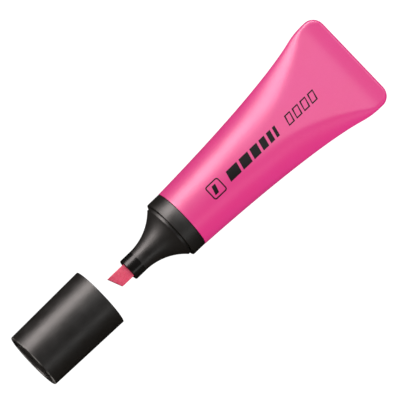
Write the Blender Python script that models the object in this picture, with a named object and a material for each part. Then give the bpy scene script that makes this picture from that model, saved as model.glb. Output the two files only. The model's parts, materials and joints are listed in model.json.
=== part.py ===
"""Tube-shaped highlighter with its cap drawn off, built as separate working pieces.

The pen lies along X, nib towards -X and flat tail towards +X, with the flat tail level.
The cap is in line with the pen, drawn off towards -X. The origin is below the middle of
the whole object, level with its lowest point. Metres, +Z up.

Two sets of axial places are used. A station is measured from the mouth of the soft tube,
positive towards the tail. A depth is measured into the cap from the cap's mouth.
"""

import math

import bmesh
import bpy
from mathutils import Matrix, Vector

MM = 0.001

# Driving dimensions of the outside.
COLLAR_RADIUS = 11.0 * MM
COLLAR_LENGTH = 5.2 * MM
TUBE_LENGTH = 78.0 * MM
TAIL_WIDTH = 37.2 * MM
TAIL_THICKNESS = 2.3 * MM
TAIL_BAND_LENGTH = 6.5 * MM
TAIL_CORNER_RADIUS = 4.2 * MM
NOSE_LENGTH = 19.2 * MM
NOSE_TIP_RADIUS = 3.97 * MM
NIB_REACH = 7.0 * MM
NIB_WIDTH = 5.1 * MM
CAP_LENGTH = 30.4 * MM
CAP_END_RADIUS = 10.45 * MM
CAP_DRAWN_OFF = 31.8 * MM

# How closely pieces sit: a close fit between neighbours, and a looser one for loose parts.
FIT = 0.15 * MM
FINE = 0.1 * MM

# Soft tube. Its outline widens and its side view thins along these points. The flats on its top
# and its belly start under the round part, so that the pen lies still.
TUBE_MOUTH_RADIUS = 11.05 * MM
TUBE_WALL = 1.2 * MM
TUBE_BORE_RADIUS = 9.5 * MM
TUBE_PLAN = ((0.0, 11.05), (34.0, 12.4), (56.0, 15.0), (66.0, 17.85))
TUBE_SIDE = ((20.0, 11.05), (34.0, 11.05), (52.0, 5.6), (71.5, 1.15))
TUBE_FLAT = ((0.0, 0.0), (15.0, 5.0), (50.0, 6.0), (71.5, 17.3))
CAVITY_END = 66.0 * MM

# Nose: a turned moulding with a round flare, a land for the cap and a spigot for the tube.
NOSE_FLARE_RADIUS = 19.0 * MM
NOSE_BARREL_LENGTH = 4.5 * MM
LAND_RADIUS = 9.8 * MM
LAND_LENGTH = 0.9 * MM
SPIGOT_RADIUS = 9.3 * MM
SPIGOT_LENGTH = 8.0 * MM
SPIGOT_WALL = 0.9 * MM
BEAD_STATIONS = (2.5 * MM, 5.5 * MM)
BEAD_HEIGHT = 0.25 * MM
BEAD_WIDTH = 1.0 * MM
SOCKET_RADIUS = 6.75 * MM
SOCKET_WALL = 0.85 * MM

# Nib: a flat chisel on a round stem that reaches into the ink reservoir.
NIB_THICKNESS = 3.4 * MM
NIB_EDGE_THICKNESS = 1.7 * MM
NIB_SLANT = 2.1 * MM
NIB_STEM_RADIUS = 1.6 * MM
NIB_STOP = -17.0 * MM
STEM_END = 3.0 * MM

# Ink system.
BARREL_RADIUS = 6.6 * MM
BARREL_WALL = 0.7 * MM
BARREL_FRONT = -4.35 * MM
BARREL_END = 34.5 * MM
FILM_WALL = 0.2 * MM
BREATHER_RADIUS = 0.6 * MM
BREATHER_BORE = 0.35 * MM

# Cap.
CAP_WALL = 1.05 * MM
CAP_RIB_COUNT = 6
CAP_RIB_HEIGHT = 0.5 * MM
CAP_RIB_WIDTH = 0.9 * MM
CAP_RIB_START = 4.0 * MM
SEAL_BORE_RADIUS = 4.1 * MM
SEAL_WALL = 0.95 * MM
SEAL_MOUTH = 14.2 * MM
SEAL_FLOOR = 27.0 * MM
FLANGE_RADIUS = 9.1 * MM
FLANGE_DEPTH = 27.5 * MM
FLANGE_THICKNESS = 1.0 * MM
LEDGE_THICKNESS = 0.5 * MM
END_RECESS = 0.5 * MM
VENT_COUNT = 4

# Derived places.
NOSE_TIP = -(COLLAR_LENGTH + NOSE_LENGTH)
NIB_TIP = NOSE_TIP - NIB_REACH
CAP_MOUTH = -(COLLAR_LENGTH + CAP_DRAWN_OFF)
MIDDLE = (TUBE_LENGTH + CAP_MOUTH - CAP_LENGTH) / 2
AXIS_HEIGHT = TUBE_MOUTH_RADIUS

AROUND = 48
TUBE_AROUND = 56
FLARE_STEPS = 12

# Colour, roughness and metallic value of each material.
FINISHES = {
    "soft_pink": ((0.83, 0.02, 0.24, 1.0), 0.42, 0.0),
    "black_satin": ((0.016, 0.015, 0.014, 1.0), 0.38, 0.0),
    "nib_fibre": ((0.80, 0.06, 0.16, 1.0), 0.75, 0.0),
    "natural_plastic": ((0.72, 0.72, 0.70, 1.0), 0.35, 0.0),
    "ink_fibre": ((0.86, 0.05, 0.30, 1.0), 0.85, 0.0),
    "clear_film": ((0.85, 0.86, 0.88, 1.0), 0.15, 0.0),
}


def clear_scene():
    for obj in list(bpy.data.objects):
        bpy.data.objects.remove(obj)


def make_materials():
    made = {}
    for name, (colour, roughness, metallic) in FINISHES.items():
        material = bpy.data.materials.new(name)
        material.use_nodes = True
        shader = material.node_tree.nodes["Principled BSDF"]
        shader.inputs["Base Color"].default_value = colour
        shader.inputs["Roughness"].default_value = roughness
        shader.inputs["Metallic"].default_value = metallic
        made[name] = material
    return made


def make_empty(name, location):
    empty = bpy.data.objects.new(name, None)
    bpy.context.scene.collection.objects.link(empty)
    empty.location = location
    return empty


def finish_mesh(bm, name, parent, material=None):
    """Closes up bm as the object called name, with its faces outwards."""
    bmesh.ops.remove_doubles(bm, verts=bm.verts, dist=1e-7)
    bmesh.ops.recalc_face_normals(bm, faces=bm.faces)
    mesh = bpy.data.meshes.new(name)
    bm.to_mesh(mesh)
    bm.free()
    mesh.shade_smooth()
    mesh.set_sharp_from_angle(angle=math.radians(35))
    obj = bpy.data.objects.new(name, mesh)
    bpy.context.scene.collection.objects.link(obj)
    obj.parent = parent
    if material is None:
        obj.hide_render = True
        obj.display_type = "WIRE"
    else:
        mesh.materials.append(material)
    return obj


def turned(name, outline, parent, material=None, around=AROUND):
    """Turns an outline of (x, radius) points about the X axis.

    An outline whose ends lie on the axis is solid there; any other is closed into a ring.
    """
    bm = bmesh.new()
    verts = [bm.verts.new((x, 0.0, radius)) for x, radius in outline]
    edges = [bm.edges.new(pair) for pair in zip(verts, verts[1:])]
    if outline[0][1] > 0.0:
        edges.append(bm.edges.new((verts[-1], verts[0])))
    bmesh.ops.spin(
        bm, geom=verts + edges, cent=(0, 0, 0), axis=(1, 0, 0),
        angle=2 * math.pi, steps=around, use_merge=True,
    )
    return finish_mesh(bm, name, parent, material)


def block(name, low, high, parent, material=None, bevel=0.0):
    """A box between two corners, with all its edges rounded by bevel."""
    bm = bmesh.new()
    bmesh.ops.create_cube(bm, size=1.0)
    low, high = Vector(low), Vector(high)
    bmesh.ops.scale(bm, vec=high - low, verts=bm.verts)
    bmesh.ops.translate(bm, vec=(low + high) / 2, verts=bm.verts)
    if bevel:
        bmesh.ops.bevel(
            bm, geom=bm.edges[:], offset=bevel, segments=2, profile=0.5, affect="EDGES",
        )
    return finish_mesh(bm, name, parent, material)


def combine(obj, other, operation):
    modifier = obj.modifiers.new(other.name, "BOOLEAN")
    modifier.operation = operation
    modifier.object = other
    modifier.solver = "EXACT"


def arc(centre, radius, start, end, steps):
    """(x, radius) points of an arc about centre; angles in degrees from +X towards outwards."""
    points = []
    for step in range(steps + 1):
        angle = math.radians(start + (end - start) * step / steps)
        points.append((centre[0] + radius * math.cos(angle), centre[1] + radius * math.sin(angle)))
    return points


def bezier(controls, share):
    """The point of a cubic Bezier curve in mm, as metres."""
    weights = (
        (1 - share) ** 3,
        3 * share * (1 - share) ** 2,
        3 * share**2 * (1 - share),
        share**3,
    )
    return tuple(MM * sum(w * c[axis] for w, c in zip(weights, controls)) for axis in (0, 1))


def bezier_at(controls, station):
    """The height of a Bezier curve at a station, found by halving."""
    low, high = 0.0, 1.0
    for _ in range(40):
        middle = (low + high) / 2
        if bezier(controls, middle)[0] < station:
            low = middle
        else:
            high = middle
    return bezier(controls, low)[1]


def tube_half_width(station):
    """Half the width of the tube seen from above, with the rounded corners of the tail."""
    half = TAIL_WIDTH / 2
    plan_end = TUBE_PLAN[-1][0] * MM
    if station <= plan_end:
        return bezier_at(TUBE_PLAN, station)
    corner_start = TUBE_LENGTH - TAIL_CORNER_RADIUS
    if station > corner_start:
        past = min(station - corner_start, TAIL_CORNER_RADIUS)
        return half - TAIL_CORNER_RADIUS + math.sqrt(TAIL_CORNER_RADIUS**2 - past**2)
    # The flare eases into the straight sides of the tail band along a parabola.
    band_start = TUBE_LENGTH - TAIL_BAND_LENGTH + 1.0 * MM
    left = max((band_start - station) / (band_start - plan_end), 0.0)
    return half - (half - TUBE_PLAN[-1][1] * MM) * left**2


def tube_half_height(station):
    """Half the height of the tube seen from the side."""
    side_start, side_end = TUBE_SIDE[0][0] * MM, TUBE_SIDE[-1][0] * MM
    if station <= side_start:
        return TUBE_MOUTH_RADIUS
    if station >= side_end:
        return TAIL_THICKNESS / 2
    return max(bezier_at(TUBE_SIDE, station), TAIL_THICKNESS / 2)


def tube_quarter(half_width, half_height, half_flat):
    """A quarter of the tube's section, from its side to its top: an ellipse, then a flat.

    The points are spread evenly along it, so that rings of different shapes line up.
    """
    fine = 60
    path = []
    for step in range(fine + 1):
        angle = math.pi / 2 * step / fine
        across = max(math.cos(angle), 0.0)
        up = math.sin(angle)
        path.append(Vector((half_flat + (half_width - half_flat) * across, half_height * up)))
    path.append(Vector((0.0, half_height)))
    lengths = [(after - before).length for before, after in zip(path, path[1:])]
    quarter_steps = TUBE_AROUND // 4
    spacing = sum(lengths) / quarter_steps
    points = [path[0]]
    walked, segment = 0.0, 0
    for step in range(1, quarter_steps):
        while walked + lengths[segment] < step * spacing:
            walked += lengths[segment]
            segment += 1
        share = (step * spacing - walked) / lengths[segment]
        points.append(path[segment].lerp(path[segment + 1], share))
    points.append(path[-1])
    return points


def tube_ring(station, inset=0.0, half_height=None):
    """A ring of points round the tube: a circle at the mouth that gains flats to the tail."""
    if half_height is None:
        half_height = tube_half_height(station) - inset
    half_width = tube_half_width(station) - inset
    half_flat = bezier_at(TUBE_FLAT, min(station, TUBE_FLAT[-1][0] * MM))
    half_flat = min(half_flat, half_width - TAIL_THICKNESS / 2)
    quarter = tube_quarter(half_width, half_height, half_flat)
    upper = quarter + [Vector((-point.x, point.y)) for point in quarter[-2::-1]]
    lower = [Vector((point.x, -point.y)) for point in upper[-2:0:-1]]
    return [(station, point.x, point.y) for point in upper + lower]


def round_ring(station, radius):
    angles = [2 * math.pi * step / TUBE_AROUND for step in range(TUBE_AROUND)]
    return [(station, radius * math.cos(angle), radius * math.sin(angle)) for angle in angles]


def skinned(name, rings, parent, material):
    """A closed skin over a chain of rings, with a flat end on the first and the last."""
    bm = bmesh.new()
    loops = [[bm.verts.new(point) for point in ring] for ring in rings]
    for near, far in zip(loops, loops[1:]):
        for step in range(len(near)):
            after = (step + 1) % len(near)
            bm.faces.new((near[step], near[after], far[after], far[step]))
    bm.faces.new(loops[0])
    bm.faces.new(loops[-1])
    return finish_mesh(bm, name, parent, material)


def make_tube_shell(parent, material):
    """The soft squeezable-looking body, one wall all round, pressed flat and welded at the tail."""
    outside = [0, 6, 12, 18, 24, 30, 36, 42, 47, 52, 56, 60, 63, 66, 68.5, 70.5, 71.5, 73.8]
    rings = [tube_ring(station * MM) for station in outside]
    corner_start = TUBE_LENGTH - TAIL_CORNER_RADIUS
    for degrees in (20, 38, 54, 68, 80):
        rings.append(tube_ring(corner_start + TAIL_CORNER_RADIUS * math.sin(math.radians(degrees))))
    rings.append(tube_ring(TUBE_LENGTH, half_height=0.75 * TAIL_THICKNESS / 2))

    bore = [round_ring(0.0, TUBE_BORE_RADIUS)]
    slope = 0.2 * MM
    for centre in BEAD_STATIONS:
        groove = TUBE_BORE_RADIUS + BEAD_HEIGHT
        start, end = centre - BEAD_WIDTH / 2 - slope, centre + BEAD_WIDTH / 2 + slope
        bore.append(round_ring(start, TUBE_BORE_RADIUS))
        bore.append(round_ring(start + slope, groove))
        bore.append(round_ring(end - slope, groove))
        bore.append(round_ring(end, TUBE_BORE_RADIUS))
    bore.append(round_ring(SPIGOT_LENGTH + FIT, TUBE_BORE_RADIUS))
    for station in (10, 18, 26, 34, 42, 50, 57, 62):
        bore.append(tube_ring(station * MM, inset=TUBE_WALL))
    bore.append(tube_ring(CAVITY_END, inset=TUBE_WALL))
    return skinned("tube_shell", bore[::-1] + rings, parent, material)


def make_collar_ring(parent, material):
    """The satin ring between the nose and the tube; the cap butts against its front face."""
    bore = SPIGOT_RADIUS + FIT
    front, back = -COLLAR_LENGTH, -FIT
    round_off = 0.35 * MM
    outline = [(front, bore), (front, COLLAR_RADIUS - round_off)]
    outline += arc((front + round_off, COLLAR_RADIUS - round_off), round_off, 180, 90, 3)[1:]
    outline += [(back - FINE, COLLAR_RADIUS), (back, COLLAR_RADIUS - FINE), (back, bore)]
    return turned("collar_ring", outline, parent, material)


def nose_flare():
    """The concave flare from the tip's barrel up to the land, one arc tangent to the barrel."""
    start = NOSE_TIP + NOSE_BARREL_LENGTH
    rise = LAND_RADIUS - NOSE_TIP_RADIUS
    end_angle = math.degrees(math.acos(1 - rise / NOSE_FLARE_RADIUS))
    centre = (start, NOSE_TIP_RADIUS + NOSE_FLARE_RADIUS)
    return arc(centre, NOSE_FLARE_RADIUS, -90, -90 + end_angle, FLARE_STEPS)


def make_nose_cone(parent, material):
    """The black nose: nib holder, flare, land for the cap, tube spigot and reservoir socket."""
    tip_round = 0.4 * MM
    land_back = -COLLAR_LENGTH - FIT
    socket_outer = SOCKET_RADIUS + SOCKET_WALL
    spigot_inner = SPIGOT_RADIUS - SPIGOT_WALL
    pocket_floor = -6.0 * MM
    socket_end = 4.0 * MM
    barrel_stop = BARREL_FRONT - FIT
    web_back = NIB_STOP + 1.2 * MM

    outline = [(NOSE_TIP, 0.0), (NOSE_TIP, NOSE_TIP_RADIUS - tip_round)]
    outline += arc(
        (NOSE_TIP + tip_round, NOSE_TIP_RADIUS - tip_round), tip_round, 180, 90, 3
    )[1:]
    outline += nose_flare()
    outline += [(land_back, LAND_RADIUS), (land_back, SPIGOT_RADIUS)]
    for centre in BEAD_STATIONS:
        half, top = BEAD_WIDTH / 2, BEAD_WIDTH / 4
        outline += [
            (centre - half, SPIGOT_RADIUS),
            (centre - top, SPIGOT_RADIUS + BEAD_HEIGHT),
            (centre + top, SPIGOT_RADIUS + BEAD_HEIGHT),
            (centre + half, SPIGOT_RADIUS),
        ]
    outline += [
        (SPIGOT_LENGTH - 0.4 * MM, SPIGOT_RADIUS),
        (SPIGOT_LENGTH, SPIGOT_RADIUS - 0.3 * MM),
        (SPIGOT_LENGTH, spigot_inner),
        (pocket_floor, spigot_inner),
        (pocket_floor, socket_outer),
        (socket_end, socket_outer),
        (socket_end, SOCKET_RADIUS),
        (barrel_stop, SOCKET_RADIUS),
        (barrel_stop, 5.4 * MM),
        (-8.0 * MM, 4.9 * MM),
        (web_back, 2.9 * MM),
        (web_back, 0.0),
    ]
    nose = turned("nose_cone", outline, parent, material)

    half_width, half_height = NIB_WIDTH / 2 + FINE, NIB_THICKNESS / 2 + FINE
    channel = block(
        "nib_channel_cutter",
        (NOSE_TIP - 1 * MM, -half_width, -half_height),
        (NIB_STOP, half_width, half_height),
        parent,
    )
    air_half, air_height = 0.6 * MM, half_height + 0.45 * MM
    air_way = block(
        "air_way_cutter",
        (NOSE_TIP - 1 * MM, -air_half, -air_height),
        (NIB_STOP - 0.5 * MM, air_half, air_height),
        parent,
    )
    stem_hole = turned(
        "stem_hole_cutter",
        [
            (NIB_STOP - 1 * MM, 0.0),
            (NIB_STOP - 1 * MM, NIB_STEM_RADIUS + FINE),
            (web_back + 1 * MM, NIB_STEM_RADIUS + FINE),
            (web_back + 1 * MM, 0.0),
        ],
        parent,
        around=24,
    )
    for cutter in (channel, air_way, stem_hole):
        combine(nose, cutter, "DIFFERENCE")
    return nose


def make_nib(parent, material):
    """The chisel nib: a flat block thinned to a writing edge, cut on a slant, on its stem."""
    back = NIB_STOP - FIT
    front = NIB_TIP - 1 * MM
    bm = bmesh.new()
    bmesh.ops.create_cube(bm, size=1.0)
    bmesh.ops.scale(bm, vec=(back - front, NIB_WIDTH, NIB_THICKNESS), verts=bm.verts)
    bmesh.ops.translate(bm, vec=((back + front) / 2, 0, 0), verts=bm.verts)
    # The block keeps its full thickness inside the nose and thins only past the tip.
    bmesh.ops.bisect_plane(
        bm, geom=bm.verts[:] + bm.edges[:] + bm.faces[:],
        plane_co=(NOSE_TIP, 0, 0), plane_no=(1, 0, 0),
    )
    for vert in bm.verts:
        if vert.co.x < front + FINE:
            vert.co.z *= NIB_EDGE_THICKNESS / NIB_THICKNESS
    cut = bmesh.ops.bisect_plane(
        bm, geom=bm.verts[:] + bm.edges[:] + bm.faces[:],
        plane_co=(NIB_TIP, NIB_WIDTH / 2, 0), plane_no=(-NIB_WIDTH, -NIB_SLANT, 0),
        clear_outer=True,
    )
    rim = [item for item in cut["geom_cut"] if isinstance(item, bmesh.types.BMEdge)]
    bmesh.ops.edgeloop_fill(bm, edges=rim)
    corners = [
        edge for edge in bm.edges
        if all(abs(vert.co.x - back) > FINE for vert in edge.verts)
        and len(edge.link_faces) == 2
        and edge.calc_face_angle(0.0) > math.radians(30)
    ]
    corners += [
        edge for edge in bm.edges
        if edge not in corners and abs(edge.verts[0].co.x - edge.verts[1].co.x) > MM
        and edge.calc_face_angle(0.0) > math.radians(30)
    ]
    bmesh.ops.bevel(bm, geom=corners, offset=0.3 * MM, segments=3, profile=0.5, affect="EDGES")
    nib = finish_mesh(bm, "nib", parent, material)

    overlap = 1.0 * MM
    stem = turned(
        "nib_stem_joiner",
        [
            (back - overlap, 0.0),
            (back - overlap, NIB_STEM_RADIUS),
            (STEM_END - 1.2 * MM, NIB_STEM_RADIUS),
            (STEM_END, 0.5 * MM),
            (STEM_END, 0.0),
        ],
        parent,
        around=24,
    )
    combine(nib, stem, "UNION")
    return nib


def make_inner_barrel(parent, material):
    """The rigid liner that holds the ink: open at the nose, closed at the back."""
    bore = BARREL_RADIUS - BARREL_WALL
    floor = BARREL_END - 1.0 * MM
    outline = [
        (floor, 0.0), (floor, bore), (BARREL_FRONT, bore), (BARREL_FRONT, BARREL_RADIUS),
        (BARREL_END - 0.5 * MM, BARREL_RADIUS), (BARREL_END, BARREL_RADIUS - 0.5 * MM),
        (BARREL_END, 0.0),
    ]
    return turned("inner_barrel", outline, parent, material)


def make_ink_reservoir(parent, materials):
    """Fibre core, its film wrap, and the fine tube that lets air in behind the ink."""
    film_outer = BARREL_RADIUS - BARREL_WALL - FIT
    film_inner = film_outer - FILM_WALL
    core_radius = film_inner - FIT
    front, back = -4.1 * MM, BARREL_END - 1.4 * MM

    film = [(front, film_inner), (front, film_outer), (back, film_outer), (back, film_inner)]
    turned("reservoir_film", film, parent, materials["clear_film"])

    core = turned(
        "reservoir_core",
        [(front, 0.0), (front, core_radius), (back, core_radius), (back, 0.0)],
        parent,
        materials["ink_fibre"],
    )
    nib_hole = turned(
        "nib_hole_cutter",
        [
            (front - 1 * MM, 0.0),
            (front - 1 * MM, NIB_STEM_RADIUS + FIT),
            (STEM_END + FIT, NIB_STEM_RADIUS + FIT),
            (STEM_END + FIT, 0.0),
        ],
        parent,
        around=24,
    )
    combine(core, nib_hole, "DIFFERENCE")

    breather_height = core_radius - BREATHER_RADIUS
    groove_radius = BREATHER_RADIUS + FIT
    groove = block(
        "breather_groove_cutter",
        (front - 1 * MM, -groove_radius, breather_height - groove_radius),
        (back + 1 * MM, groove_radius, core_radius + 1 * MM),
        parent,
    )
    combine(core, groove, "DIFFERENCE")

    breather = turned(
        "breather_tube",
        [
            (front, BREATHER_BORE), (front, BREATHER_RADIUS),
            (back, BREATHER_RADIUS), (back, BREATHER_BORE),
        ],
        parent,
        materials["natural_plastic"],
        around=16,
    )
    breather.location.z = breather_height


def cap_radius(depth):
    """Outside radius of the cap, which tapers a little towards its closed end."""
    return COLLAR_RADIUS + (CAP_END_RADIUS - COLLAR_RADIUS) * depth / CAP_LENGTH


def cap_bore(depth):
    return cap_radius(depth) - CAP_WALL


def make_cap_shell(parent, material):
    """The cap's outer sleeve, with grip ribs inside and a ledge that carries the end pieces."""
    ledge_front = FLANGE_DEPTH + FLANGE_THICKNESS + FIT
    ledge_back = ledge_front + LEDGE_THICKNESS
    ledge_radius = FLANGE_RADIUS - 0.7 * MM
    end_round = 0.5 * MM
    rim_outer = cap_radius(CAP_LENGTH) - end_round
    rim_inner = FLANGE_RADIUS + FIT

    outline = [(0.0, cap_bore(0) + FINE), (0.0, COLLAR_RADIUS - FINE), (-FINE, COLLAR_RADIUS)]
    outline += arc((-CAP_LENGTH + end_round, rim_outer), end_round, 90, 180, 4)
    outline += [
        (-CAP_LENGTH, rim_inner), (-ledge_back, rim_inner), (-ledge_back, ledge_radius),
        (-ledge_front, ledge_radius), (-ledge_front, cap_bore(ledge_front)),
        (-FINE, cap_bore(0)),
    ]
    shell = turned("cap_shell", outline, parent, material)

    for index in range(CAP_RIB_COUNT):
        bore = cap_bore(CAP_RIB_START)
        rib = block(
            f"cap_rib_joiner_{index}",
            (-FLANGE_DEPTH + FIT, -CAP_RIB_WIDTH / 2, cap_bore(FLANGE_DEPTH) - CAP_RIB_HEIGHT),
            (-CAP_RIB_START, CAP_RIB_WIDTH / 2, bore + CAP_WALL / 3),
            parent,
        )
        turn = Matrix.Rotation(2 * math.pi * index / CAP_RIB_COUNT, 4, "X")
        rib.data.transform(turn)
        combine(shell, rib, "UNION")
    return shell


def vent_slots(name, parent, inner, outer, near, far, count, share, first=0.0):
    """Arc-shaped cutters round the axis, in one ring, each covering a share of its pitch."""
    slots = []
    pitch = 2 * math.pi / count
    for index in range(count):
        bm = bmesh.new()
        start = first + index * pitch
        corners = [(near, inner), (near, outer), (far, outer), (far, inner)]
        verts = [bm.verts.new((x, 0.0, radius)) for x, radius in corners]
        face = bm.faces.new(verts)
        bmesh.ops.rotate(bm, verts=bm.verts, cent=(0, 0, 0), matrix=Matrix.Rotation(start, 3, "X"))
        bmesh.ops.spin(
            bm, geom=[face], cent=(0, 0, 0), axis=(1, 0, 0), angle=pitch * share, steps=6,
            use_duplicate=False,
        )
        if len(bm.faces) < 26:
            raise RuntimeError("a vent slot lost its first face")
        slots.append(finish_mesh(bm, f"{name}_{index}", parent))
    return slots


def make_cap_seal_cup(parent, material):
    """The inner cup that closes round the nose tip and keeps the nib moist."""
    outer = SEAL_BORE_RADIUS + SEAL_WALL
    lead_in = 0.3 * MM
    flange_back = FLANGE_DEPTH + FLANGE_THICKNESS
    outline = [
        (-SEAL_FLOOR, 0.0),
        (-SEAL_FLOOR, SEAL_BORE_RADIUS),
        (-SEAL_MOUTH - lead_in, SEAL_BORE_RADIUS),
        (-SEAL_MOUTH, SEAL_BORE_RADIUS + lead_in),
        (-SEAL_MOUTH, outer - FINE),
        (-SEAL_MOUTH - FINE, outer),
        (-FLANGE_DEPTH, outer),
        (-FLANGE_DEPTH, FLANGE_RADIUS),
        (-flange_back, FLANGE_RADIUS),
        (-flange_back, 0.0),
    ]
    cup = turned("cap_seal_cup", outline, parent, material)
    slots = vent_slots(
        "flange_vent_cutter", parent, 6.0 * MM, 7.8 * MM,
        -FLANGE_DEPTH + 1 * MM, -flange_back - 1 * MM, VENT_COUNT, 0.55,
    )
    for slot in slots:
        combine(cup, slot, "DIFFERENCE")
    return cup


def make_cap_end_disc(parent, material):
    """The vented disc set into the closed end, with a raised ring round a dished middle."""
    front = FLANGE_DEPTH + FLANGE_THICKNESS + LEDGE_THICKNESS + 2 * FIT
    face = CAP_LENGTH - END_RECESS
    dish, ring = face - 0.3 * MM, face + 0.25 * MM
    outline = [
        (-front, 0.0), (-front, FLANGE_RADIUS), (-face, FLANGE_RADIUS),
        (-face, 5.6 * MM), (-ring, 5.4 * MM), (-ring, 4.9 * MM), (-face, 4.7 * MM),
        (-face, 4.0 * MM), (-dish, 3.6 * MM), (-dish, 0.0),
    ]
    disc = turned("cap_end_disc", outline, parent, material)
    slots = vent_slots(
        "disc_vent_cutter", parent, 6.3 * MM, 7.5 * MM,
        -front + 1 * MM, -CAP_LENGTH - 1 * MM, VENT_COUNT, 0.5,
    )
    for slot in slots:
        combine(disc, slot, "DIFFERENCE")
    return disc


def main():
    clear_scene()
    materials = make_materials()

    pen_axis = make_empty("pen_axis", (-MIDDLE, 0.0, AXIS_HEIGHT))
    make_tube_shell(pen_axis, materials["soft_pink"])
    make_collar_ring(pen_axis, materials["black_satin"])
    make_nose_cone(pen_axis, materials["black_satin"])
    make_nib(pen_axis, materials["nib_fibre"])
    make_inner_barrel(pen_axis, materials["natural_plastic"])
    make_ink_reservoir(pen_axis, materials)

    # The cap slides on and off along the pen's axis, so its empty lies on that axis.
    cap_axis = make_empty("cap_axis", (CAP_MOUTH - MIDDLE, 0.0, AXIS_HEIGHT))
    make_cap_shell(cap_axis, materials["black_satin"])
    make_cap_seal_cup(cap_axis, materials["natural_plastic"])
    make_cap_end_disc(cap_axis, materials["black_satin"])


main()
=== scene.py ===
"""Looks of a tube-shaped highlighter with its cap drawn off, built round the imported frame.

Lengths in this file are millimetres unless a name ends in _m, and become metres in to_metres().
A station is measured along the pen from the soft tube's mouth, positive towards the tail.
A depth is measured into the cap from the cap's mouth.
"""

import json
import logging
import math
from collections.abc import Callable, Sequence
from dataclasses import dataclass
from enum import Enum

import bpy
import numpy as np
from bpy.types import Material, Node, NodeSocket, NodeTree, Object
from mathutils import Matrix, Vector

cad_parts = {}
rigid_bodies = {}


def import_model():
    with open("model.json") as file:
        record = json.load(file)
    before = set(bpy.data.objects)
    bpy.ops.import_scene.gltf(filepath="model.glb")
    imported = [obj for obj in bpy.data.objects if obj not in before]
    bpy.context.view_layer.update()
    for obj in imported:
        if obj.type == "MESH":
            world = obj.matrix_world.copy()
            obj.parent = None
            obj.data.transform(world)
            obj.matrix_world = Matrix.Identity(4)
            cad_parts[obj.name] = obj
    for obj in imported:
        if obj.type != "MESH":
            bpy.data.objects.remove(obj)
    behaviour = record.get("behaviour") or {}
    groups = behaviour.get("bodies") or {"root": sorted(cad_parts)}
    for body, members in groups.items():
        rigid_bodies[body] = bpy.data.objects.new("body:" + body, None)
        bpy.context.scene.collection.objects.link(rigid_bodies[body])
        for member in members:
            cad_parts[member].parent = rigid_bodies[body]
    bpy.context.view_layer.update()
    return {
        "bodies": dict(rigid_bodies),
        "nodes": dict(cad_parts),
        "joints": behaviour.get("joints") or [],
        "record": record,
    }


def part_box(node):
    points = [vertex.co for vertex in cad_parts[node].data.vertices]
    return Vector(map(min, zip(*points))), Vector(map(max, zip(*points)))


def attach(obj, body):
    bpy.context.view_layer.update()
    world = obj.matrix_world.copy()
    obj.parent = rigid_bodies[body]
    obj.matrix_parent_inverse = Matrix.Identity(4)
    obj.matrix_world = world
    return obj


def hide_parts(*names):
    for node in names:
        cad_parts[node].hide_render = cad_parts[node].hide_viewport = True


LOG = logging.getLogger("highlighter")
AROUND = 128
DOUBLES_M = 1e-6
NEAR_M = 1e-5
SLIVER_M = 1e-4
SLOT_STEPS = 16
Outline = list[tuple[float, float]]
Corner = tuple[float, float, float]
Controls = tuple[tuple[float, float], ...]


class Body(str, Enum):
    """The two bodies of the frame that pieces ride on."""

    PEN = "pen"
    CAP = "cap"


class Slot(str, Enum):
    """The record's material slots."""

    SOFT_TUBE = "soft_tube"
    SATIN_BLACK = "satin_black"
    NIB_FIBRE = "nib_fibre"
    CAP_INSERT = "cap_insert"


# ---------------------------------------------------------------------------------------
# Small tools
# ---------------------------------------------------------------------------------------


def to_metres(value: float) -> float:
    """Turns millimetres into metres."""
    return value * 0.001


def linear(colour: str) -> tuple[float, float, float, float]:
    """Turns an sRGB hex colour into linear light.

    Args:
        colour: six hex digits, such as "E42A73".

    Returns:
        Red, green, blue and a full alpha.
    """
    channels = [int(colour[start : start + 2], 16) / 255 for start in (0, 2, 4)]
    red, green, blue = [
        value / 12.92 if value <= 0.04045 else ((value + 0.055) / 1.055) ** 2.4
        for value in channels
    ]
    return red, green, blue, 1.0


def eased(value: float, span: tuple[float, float]) -> float:
    """Gives how far a value is through a span, from 0 to 1 with soft ends."""
    share = min(max((value - span[0]) / (span[1] - span[0]), 0.0), 1.0)
    return share * share * (3 - 2 * share)


def bezier_height(controls: Controls, station: float) -> float:
    """Reads a cubic Bezier curve at a station.

    Args:
        controls: four (station, height) control points with rising stations.
        station: where to read the curve.

    Returns:
        The curve's height there.
    """
    share = np.linspace(0.0, 1.0, 200)
    weights = ((1 - share) ** 3, 3 * share * (1 - share) ** 2, 3 * share**2 * (1 - share), share**3)
    along = sum(weight * point[0] for weight, point in zip(weights, controls))
    height = sum(weight * point[1] for weight, point in zip(weights, controls))
    return float(np.interp(station, along, height))


def rounded(corners: Sequence[Corner], steps: int = 4) -> Outline:
    """Rounds the corners of a closed outline.

    Args:
        corners: (along, radius, rounding) of each corner, in order.
        steps: pieces in each rounding.

    Returns:
        The outline's points.
    """
    points: Outline = []
    count = len(corners)
    for index, (along, radius, rounding) in enumerate(corners):
        here = Vector((along, radius))
        if rounding <= 0:
            points.append((along, radius))
            continue
        before = Vector(corners[index - 1][:2]) - here
        after = Vector(corners[(index + 1) % count][:2]) - here
        before.normalize()
        after.normalize()
        half = math.acos(max(-1.0, min(1.0, before.dot(after)))) / 2
        reach = rounding / math.tan(half)
        centre = here + (before + after).normalized() * (rounding / math.sin(half))
        start = here + before * reach - centre
        end = here + after * reach - centre
        sweep = math.atan2(start.x * end.y - start.y * end.x, start.dot(end))
        for step in range(steps + 1):
            angle = sweep * step / steps
            turned_x = start.x * math.cos(angle) - start.y * math.sin(angle)
            turned_y = start.x * math.sin(angle) + start.y * math.cos(angle)
            points.append((centre.x + turned_x, centre.y + turned_y))
    return points


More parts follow.
